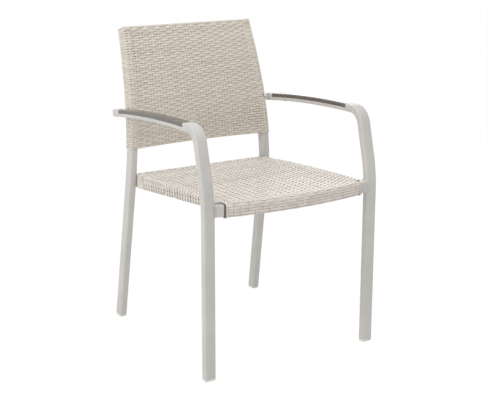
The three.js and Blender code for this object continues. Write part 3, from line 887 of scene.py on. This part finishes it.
def woven_back():
    lower, upper = Strands(back_weft_wide, weft_thick), Strands(back_weft_wide, weft_thick)
    for place in (-1.5, -0.5, 0.5, 1.5):
        top_edge_row(place * back_weft_wide, upper)
    rows = back_rows()
    for row, base in enumerate(rows):
        back_weft_row(row, float(base), lower if row < len(rows) / 2 else upper)
    for side in (-1, 1):
        corner_lashing(side, upper)
    stakes = Strands(stake_wide, stake_thick)
    for share in np.linspace(-1, 1, back_stakes):
        back_stake_loop(share, stakes)
    for side in (-1, 1):
        side_stake(side, stakes)
    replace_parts(lower.piece("back_lower_weft_strands", back_wicker), "back_weave")
    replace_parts(upper.piece("back_upper_weft_strands", back_wicker), "back_weave")
    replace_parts(stakes.piece("back_stake_strands", back_wicker), "back_weave")


# The seat's surface


def seat_height(depth):
    """Height of the seat's outer face at a depth behind the front legs' line."""
    front, rear = -rail_bow - tube_thin / 2 - skin, rear_depth + skin
    share = (depth - front) / (rear - front)
    return seat_front_height - seat_drop * share + 4 * seat_crown * share * (1 - share)


def side_rail_outer(depth):
    return blend(side_rail_front, side_rail_rear, depth / rear_depth)


def side_rail_bottom(depth):
    """The side rail's underside, straight from its front end to its rear end."""
    front = seat_height(0) - skin - side_rail_front_height
    rear = seat_height(side_rail_end) - skin - side_rail_rear_height
    return blend(front, rear, depth / side_rail_end)


def bow_depth(x):
    return bow_radius - rail_bow - np.sqrt(bow_radius * bow_radius - np.asarray(x, float) ** 2)


def seat_reach(along):
    """Distance from the middle to the outermost stake: along is 0 at the rear and 1 at the front."""
    return blend(seat_reach_rear, seat_reach_front, along)


class SeatProfile:
    """The seat's outer face in section: over the rear rail, along the seat and round the front."""

    def __init__(self, share):
        self.share = share
        front = float(bow_depth(share * seat_reach_front)) - tube_thin / 2 - skin
        rear = rear_depth + skin
        corner = tube_corner + skin
        low = seat_front_height - 2 * skin - rail_height
        under_rear = seat_height(rear_depth) - 2 * skin - rear_rail_height
        top = np.linspace(rear - corner, front + corner, 90)
        heights = seat_height(top)
        path = [
            self.level(rear_depth - tube_thin, rear - corner, under_rear),
            self.arc(rear - corner, under_rear + corner, corner, -90, 0),
            self.arc(rear - corner, heights[0] - corner, corner, 0, 80),
            np.column_stack([top, heights]),
            self.arc(front + corner, heights[-1] - corner, corner, 95, 180),
            self.arc(front + corner, low + corner, corner, 180, 270),
            self.level(front + corner, front + tube_thin, low),
        ]
        self.points = np.concatenate(path)
        steps = np.linalg.norm(np.diff(self.points, axis=0), axis=1)
        self.run = np.concatenate([[0], np.cumsum(steps)])
        before_top = sum(len(part) for part in path[:3])
        self.top_start = self.run[before_top]
        self.top_end = self.run[before_top + len(top) - 1]

    @staticmethod
    def level(start, end, height):
        return np.column_stack([np.linspace(start, end, 5), np.full(5, height)])

    @staticmethod
    def arc(depth, height, radius, start, end):
        angles = np.radians(np.linspace(start, end, 7))
        return np.column_stack([depth + radius * np.cos(angles), height + radius * np.sin(angles)])

    def along(self, run):
        return (run - self.top_start) / (self.top_end - self.top_start)

    def surface(self, run):
        """Points of the outer face and its outward normals at lengths along the profile."""
        here, before, after = (np.stack([np.interp(run + step, self.run, self.points[:, 0]),
                                         np.interp(run + step, self.run, self.points[:, 1])], axis=-1)
                               for step in (0, -0.5 * MM, 0.5 * MM))
        direction = unit(after - before)
        x = self.share * seat_reach(np.clip(self.along(run), 0, 1))
        points = np.stack([np.broadcast_to(x, np.shape(run)), line + here[..., 0], here[..., 1]], axis=-1)
        normals = np.stack([np.zeros(np.shape(run)), direction[..., 1], -direction[..., 0]], axis=-1)
        return points, normals


def seat_level(points):
    """How deep the strands' middle surface lies, a weft's swing about it, and how far it is on a rail."""
    x, depth = points[..., 0], points[..., 1] - line
    front = bow_depth(x) + tube_thin / 2 + rail_blend - depth
    rear = depth - (rear_depth - tube_thin - rail_blend)
    side = np.abs(x) - (side_rail_outer(depth) - side_rail_width - rail_blend)
    on_rail = smooth(np.maximum(np.maximum(front, rear), side) / rail_blend)
    swing = blend(seat_swing, swing_on_tube, on_rail)
    return blend(seat_mid, skin - over_tube, on_rail), swing, on_rail


# The woven seat


seat_shares = np.linspace(-1, 1, seat_stakes)
middle_profile = SeatProfile(0.5)
rows_on_top = int(round((middle_profile.top_end - middle_profile.top_start) / seat_row_pitch))

# Where a path round a side rail has its first bend, and where its outer face starts and ends
bend_start, face_start, face_end = 1, 6, 7


def row_run(profile, row):
    """Length along a section at which a row lies: even on the top, then at one pitch round the rails."""
    length = profile.top_end - profile.top_start
    if row < 0:
        return profile.top_start + row * seat_row_pitch
    if row > rows_on_top:
        return profile.top_end + (row - rows_on_top) * fascia_row_pitch
    share = row / rows_on_top
    slope = seat_climb * profile.share * smooth(min(share, 1 - share) / climb_fade)
    return profile.top_start + share * length - slope


def top_profiles(under_first):
    """Sections where a row has its stations, between the outermost stakes."""
    places, rises = weft_stations(seat_shares * seat_reach_front, under_first)
    return [SeatProfile(place / seat_reach_front) for place in places], rises


row_profiles = {under_first: top_profiles(under_first) for under_first in (True, False)}


def side_path(depth):
    """Round a side rail from the outermost stake: its top, its outer face, its underside and up inside.

    Where the brace or the rear rail joins the side rail, the path stops under it."""
    reach = seat_reach(1 - depth / rear_depth)
    outer = side_rail_outer(depth) + over_tube
    top = seat_height(depth) - skin + over_tube
    bottom = side_rail_bottom(depth) - over_tube
    radius = tube_corner + over_tube
    turn = np.radians(np.linspace(90, 0, 6))
    under = np.radians(np.linspace(0, -90, 6))
    x = [[reach], outer - radius + radius * np.cos(turn), outer - radius + radius * np.cos(under)]
    z = [[top], top - radius + radius * np.sin(turn), bottom + radius + radius * np.sin(under)]
    angle = [[math.pi / 2], turn, under]
    if abs(depth - brace_depth) < brace_clearance or depth > rear_depth - rear_clearance:
        x.append([outer - tuck_reach])
        z.append([bottom])
        angle.append([-math.pi / 2])
    else:
        inner = outer - side_rail_width - 2 * over_tube
        back_up_angles = np.radians(np.linspace(-90, -180, 6))
        x += [inner + radius + radius * np.cos(back_up_angles), [inner]]
        z += [bottom + radius + radius * np.sin(back_up_angles), [top - inner_face_stop]]
        angle += [back_up_angles, [-math.pi]]
    x, z, angle = (np.concatenate(values) for values in (x, z, angle))
    length = np.concatenate([[0], np.cumsum(np.hypot(np.diff(x), np.diff(z)))])
    return x, z, angle, length


def side_wrap(depth, side, under_first):
    """The end of a weft round one side rail: its points, normals, rises and the painted shade along its
    edges.
    """
    x, z, angle, length = side_path(depth)
    plain = depth >= side_plain_start
    has_upper = depth > upper_stake_start
    stakes = [0.0]
    if has_upper and not plain:
        stakes.append(length[face_start] + upper_stake_drop)
    if not plain:
        stakes.append(length[face_end] - (lower_stake_rise - tube_corner))
    stakes.append(length[-1])
    places, rises = weft_stations(stakes, under_first)
    every = np.unique(np.concatenate([places, length]))
    rises = np.interp(every, places, rises)
    beyond = smooth(every / length[bend_start])
    if plain:
        rises = np.maximum(rises, plain_rise * beyond)
    else:
        lean = -side_lean if under_first == has_upper else side_lean
        rises = rises * (1 - side_lean * beyond) + lean * beyond
    x, z, angle = (np.interp(every, length, values) for values in (x, z, angle))
    normals = np.column_stack([side * np.cos(angle), np.zeros(len(every)), np.sin(angle)])
    points = np.column_stack([side * x, np.full(len(every), line + depth), z])
    swing = blend(swing_on_tube, side_swing, beyond)
    down = smooth((every - length[bend_start]) / (length[face_end] - length[bend_start]))
    edges = blend(rail_edge_shade, edge_shade if plain else side_edge_shade, down)
    return points + normals * (rises * swing)[:, None], normals, rises, edges


def tucked_end(point, normal, side):
    """A weft on a rail ends by turning in under the outermost stake."""
    across = side * np.array([1.0, 0, 0])
    points = point + across * tuck_steps[:, :1] + normal * tuck_steps[:, 1:]
    return points, normal + across * tuck_leans[:, None]


def seat_weft_row(row, strands):
    """One weft: over and under the top's stakes, then round both side rails or tucked at its ends."""
    under_first = row % 2 == 0
    profiles, rises = row_profiles[under_first]
    surfaces = [profile.surface(np.float64(row_run(profile, row))) for profile in profiles]
    points, normals = (np.array(values) for values in zip(*surfaces))
    inward, swing, on_rail = seat_level(points)
    depths = points[[0, -1], 1] - line
    on_top = 0 <= row <= rows_on_top
    wrapped = [on_top and side_weave_start < depth < side_weave_end for depth in depths]
    for index in (0, -1):
        if not wrapped[index]:
            near = smooth(1 - np.abs(points[:, 0] - points[index, 0]) / stake_pitch)
            rises = rises * (1 - near) - edge_dive * near
    # Painted shade along the weft's edges, deepest where it lies on a rail.
    edges = np.full(len(rises), fascia_edge_shade)
    if on_top:
        edges = blend(seat_edge_shade, rail_edge_shade, on_rail)
    if row > rows_on_top:
        rises = rises * fascia_calm
    points = points + normals * (rises * swing - inward)[:, None]
    parts = [(points, normals, rises, edges)]
    last_under = under_first == (seat_stakes % 2 == 1)
    for index, side, under in ((0, -1, under_first), (-1, 1, last_under)):
        if wrapped[index]:
            end = side_wrap(max(float(depths[index]), side_first_row), side, under)
            end = tuple(values[1:] for values in end)
        else:
            end = tucked_end(points[index], normals[index], side)
            end += (np.full(3, -edge_dive), np.full(3, edges[index]))
        if side < 0:
            parts.insert(0, tuple(values[::-1] for values in end))
        else:
            parts.append(end)
    strands.add(*(np.concatenate(values) for values in zip(*parts)))


def seat_stake(index, strands):
    """A stake from under the rear rail to under the front rail; the outermost bind the fascia's edge."""
    profile = SeatProfile(seat_shares[index])
    run = np.arange(profile.run[0], profile.run[-1], stake_step)
    points, normals = profile.surface(run)
    inward, _, _ = seat_level(points)
    if index in (0, seat_stakes - 1):
        proud = smooth((run - profile.top_end + edge_stake_above) / edge_stake_blend)
        below = smooth((run - profile.run[-1] + edge_stake_below) / edge_stake_blend)
        inward = inward - edge_stake_proud * (proud + below)
    strands.add(points - normals * inward[:, None], normals)


def side_stake_run(side, upper, strands):
    """A stake along the side rail's outer face."""
    start = upper_stake_start if upper else side_weave_start
    points = []
    for depth in np.linspace(start, side_weave_end - 2 * MM, 60):
        x, z, _, _ = side_path(float(depth))
        low = z[face_end] + lower_stake_rise - tube_corner
        height = z[face_start] - upper_stake_drop if upper else low
        points.append((side * x[face_start], line + depth, height))
    strands.add(points, [(side, 0, 0)] * len(points))


def woven_seat():
    rear, front = Strands(seat_weft_wide, weft_thick), Strands(seat_weft_wide, weft_thick)
    for row in range(-rows_behind, rows_on_top + rows_in_front + 1):
        seat_weft_row(row, rear if row < rows_on_top / 2 else front)
    stakes = Strands(stake_wide, stake_thick)
    for index in range(seat_stakes):
        seat_stake(index, stakes)
    narrow = Strands(side_stake_wide, stake_thick, side_stake_shade)
    for side in (-1, 1):
        for upper in (False, True):
            side_stake_run(side, upper, narrow)
    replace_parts(rear.piece("seat_rear_weft_strands", seat_wicker), "seat_weave")
    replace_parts(front.piece("seat_front_weft_strands", seat_wicker), "seat_weave")
    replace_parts(stakes.piece("seat_stake_strands", seat_wicker), "seat_weave")
    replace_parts(narrow.piece("seat_side_stake_strands", seat_wicker), "seat_weave")


# The studio


def camera():
    data = bpy.data.cameras.new("camera")
    data.lens = view_lens
    data.sensor_width = view_sensor
    made = bpy.data.objects.new("camera", data)
    bpy.context.scene.collection.objects.link(made)
    azimuth, elevation = math.radians(view_azimuth), math.radians(view_elevation)
    level = math.cos(elevation)
    back = (math.sin(azimuth) * level, -math.cos(azimuth) * level, math.sin(elevation))
    made.location = np.array(view_target) + view_distance * np.array(back)
    made.rotation_euler = (math.pi / 2 - elevation, 0, azimuth)
    bpy.context.scene.camera = made


def lamp(name, place, target, size, power):
    data = bpy.data.lights.new(name, "AREA")
    data.shape = "RECTANGLE"
    data.size, data.size_y = size
    data.energy = power
    made = bpy.data.objects.new(name, data)
    made.location = place
    aim = np.array(target) - np.array(place)
    pitch = math.atan2(aim[2], math.hypot(aim[0], aim[1]))
    made.rotation_euler = (math.pi / 2 + pitch, 0, math.atan2(aim[1], aim[0]) - math.pi / 2)
    bpy.context.scene.collection.objects.link(made)


def seen_rays(tree):
    """1 for rays from the camera, a glossy surface or glass."""
    path = node(tree, "ShaderNodeLightPath").outputs
    seen = path["Is Camera Ray"]
    for ray in ("Is Glossy Ray", "Is Transmission Ray"):
        seen = node(tree, "ShaderNodeMath", {0: seen, 1: path[ray]}, operation="MAXIMUM").outputs[0]
    return seen


def studio_world():
    world = bpy.data.worlds.new("studio")
    bpy.context.scene.world = world
    world.use_nodes = True
    tree = world.node_tree
    levels = {"Value": seen_rays(tree), "To Min": world_light, "To Max": 1.0}
    strength = node(tree, "ShaderNodeMapRange", levels).outputs["Result"]
    feed(tree, tree.nodes["Background"], {"Color": (1, 1, 1, 1), "Strength": strength})


def floor():
    """Pale paper, which keeps the shadow and gives seen rays its own light."""
    size = floor_half
    corners = [(-size, -size, 0), (size, -size, 0), (size, size, 0), (-size, size, 0)]
    mesh = bpy.data.meshes.new("floor")
    mesh.from_pydata(corners, [], [(0, 1, 2, 3)])
    made = bpy.data.objects.new("floor", mesh)
    bpy.context.scene.collection.objects.link(made)
    colour = (floor_grey, floor_grey, floor_grey, 1)
    finish, tree, shader = material(
        "floor_paper", {"Roughness": 0.9, "Specular IOR Level": 0.0, "Base Color": colour})
    glow = node(tree, "ShaderNodeEmission", {"Strength": floor_glow}).outputs["Emission"]
    share = node(tree, "ShaderNodeMath", {0: seen_rays(tree), 1: floor_seen}, operation="MULTIPLY")
    mix = node(tree, "ShaderNodeMixShader", {0: share.outputs[0], 1: shader.outputs["BSDF"], 2: glow})
    feed(tree, tree.nodes["Material Output"], {"Surface": mix.outputs["Shader"]})
    mesh.materials.append(finish)


def build():
    for side, name in sides:
        leg_and_arm(side, name)
        arm_inlay(side, name)
        arm_cap(side, name)
        rear_tube(side, name)
        glide(f"{name}_front", (side * arm_spread, line, 0), (0, 0, 1), tube_wide, tube_thin)
        foot, _, _ = post_route(side)
        glide(f"{name}_rear", foot.points[0], foot.directions[0], tube_thin, tube_wide)
        rail_plug(side, name)
        dress_cad([f"{name}_inlay_screw_front", f"{name}_inlay_screw_rear"], screw_finish)
        dress_cad([f"{name}_arm_link", f"{name}_post_cap", f"{name}_seat_side_rail"], paint)
    dress_cad(["rear_seat_rail", "seat_cross_brace", "back_top_rail", "back_bottom_rail"], paint)
    front_rail()
    woven_back()
    woven_seat()


bpy.context.scene.view_settings.view_transform = "Standard"
camera()
build()
studio_world()
floor()
for settings in lamps:
    lamp(*settings)
